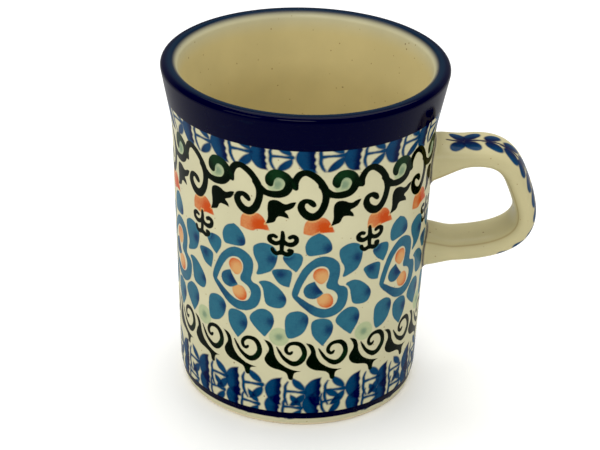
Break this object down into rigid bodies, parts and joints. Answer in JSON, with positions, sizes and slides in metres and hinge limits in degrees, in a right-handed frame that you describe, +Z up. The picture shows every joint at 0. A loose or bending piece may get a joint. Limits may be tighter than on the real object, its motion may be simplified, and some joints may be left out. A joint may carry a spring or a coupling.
{
  "type": "stoneware mug",
  "caption": "Round stoneware mug with a slightly tapered wall, a flared lip, a recessed foot and a broad strap handle; painted folk decoration under clear glaze.",
  "frame": {"origin": "middle of the foot, on the surface the mug stands on", "axes": "+Z up the cup's axis, +X towards the handle, +Y to the left of someone who looks along +X"},
  "size_m": [0.1097, 0.0824, 0.101],
  "materials": {
    "clay": "bare buff stoneware, fired and finely speckled",
    "slip": "fired slip of the same clay",
    "painted_glaze": "clear gloss glaze over sponge-stamped and brushed decoration in blue, green and coral on cream",
    "handle_glaze": "clear gloss glaze on cream clay, with a stamped blue border along the back",
    "band_glaze": "gloss cobalt blue, breaking lighter on the lip",
    "liner_glaze": "gloss cream with fine brown specks"
  },
  "bodies": {
    "root": {"cup_body": "clay", "handle": "clay", "upper_slip_joint": "slip", "lower_slip_joint": "slip", "outer_glaze": "painted_glaze", "handle_glaze": "handle_glaze", "rim_band_glaze": "band_glaze", "liner_glaze": "liner_glaze", "base_glaze": "liner_glaze"}
  },
  "joints": []
}
